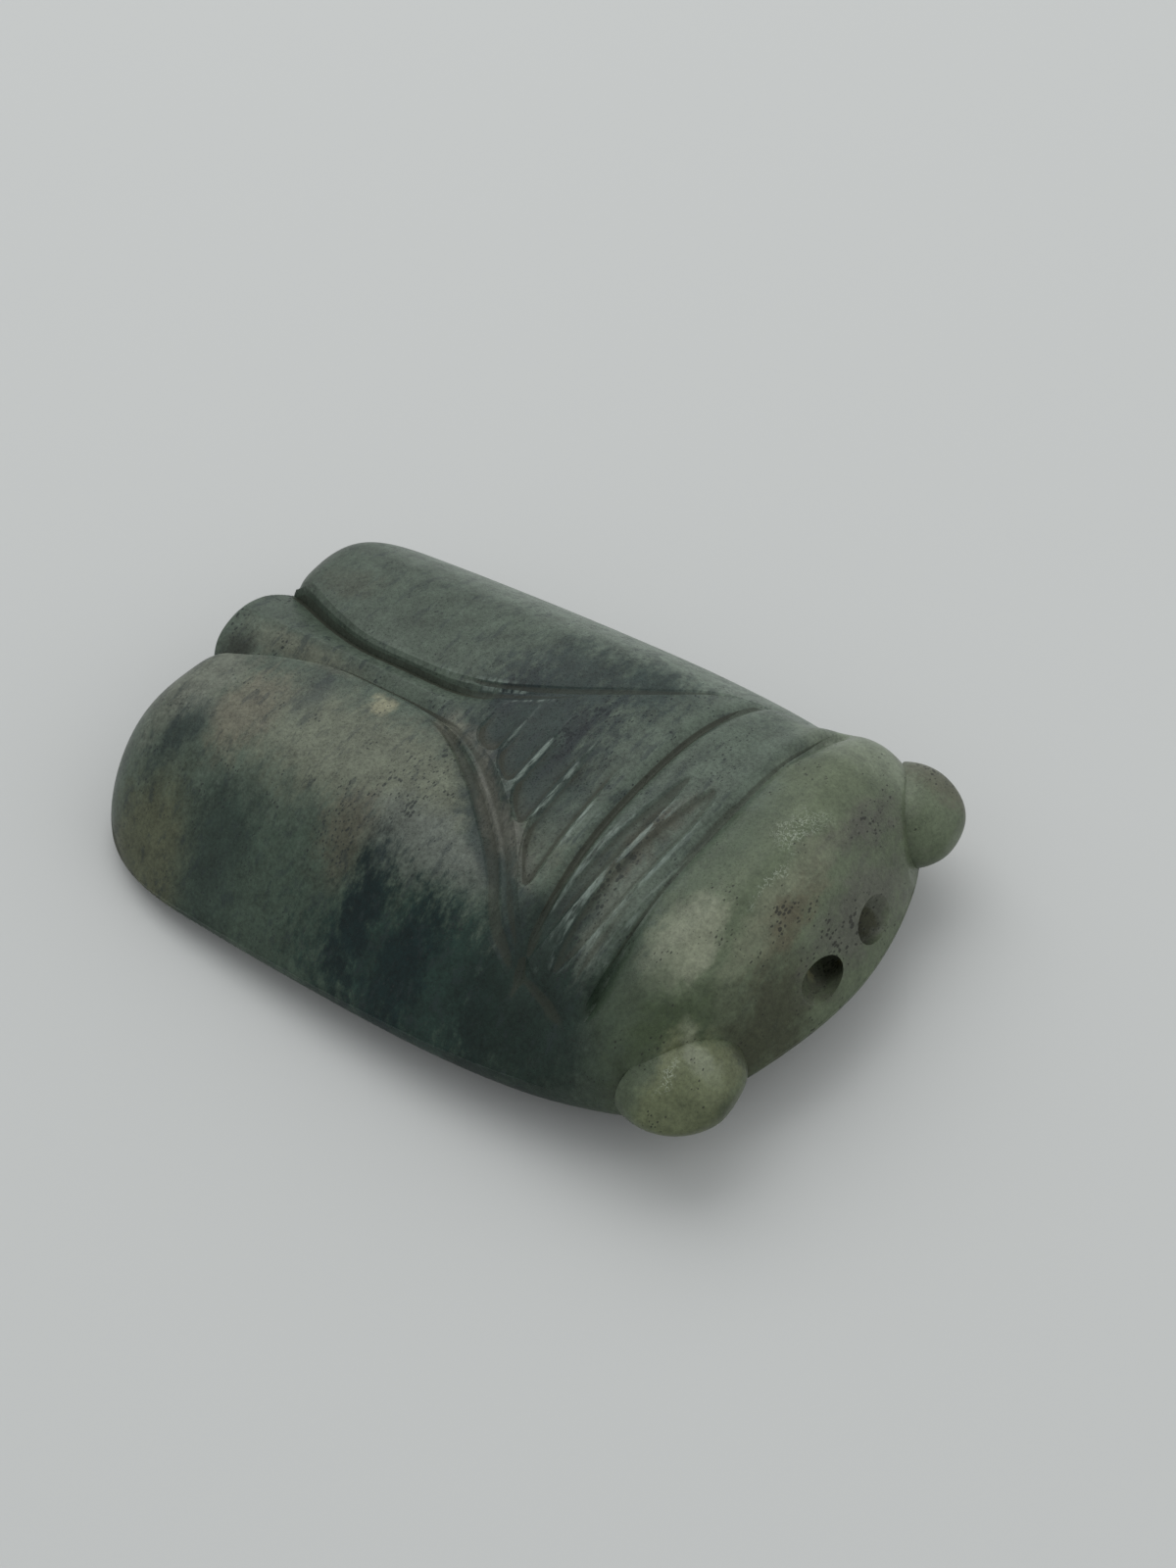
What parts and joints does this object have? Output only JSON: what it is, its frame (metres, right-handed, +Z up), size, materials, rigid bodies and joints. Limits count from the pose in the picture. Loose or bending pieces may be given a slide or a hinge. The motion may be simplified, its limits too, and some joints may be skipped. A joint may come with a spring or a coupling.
{
  "type": "cicada figurine",
  "caption": "Carved jade cicada with folded wings, fluted thorax, knob eyes and a pair of slanted cord holes in the nose; it lies on its flat belly.",
  "frame": {"origin": "under the middle of the body, on the surface that the belly rests on", "axes": "+Z up, +Y from the head to the tail, +X towards the cicada's left wing"},
  "size_m": [0.0414, 0.0588, 0.0139],
  "materials": {
    "green_jade": "satin",
    "dark_jade": "satin",
    "pale_jade": "satin"
  },
  "bodies": {
    "root": {"belly": "green_jade", "abdomen": "dark_jade", "right_wing": "green_jade", "left_wing": "green_jade", "thorax": "dark_jade", "collar": "green_jade", "head": "pale_jade", "right_eye": "pale_jade", "left_eye": "pale_jade"}
  },
  "joints": []
}
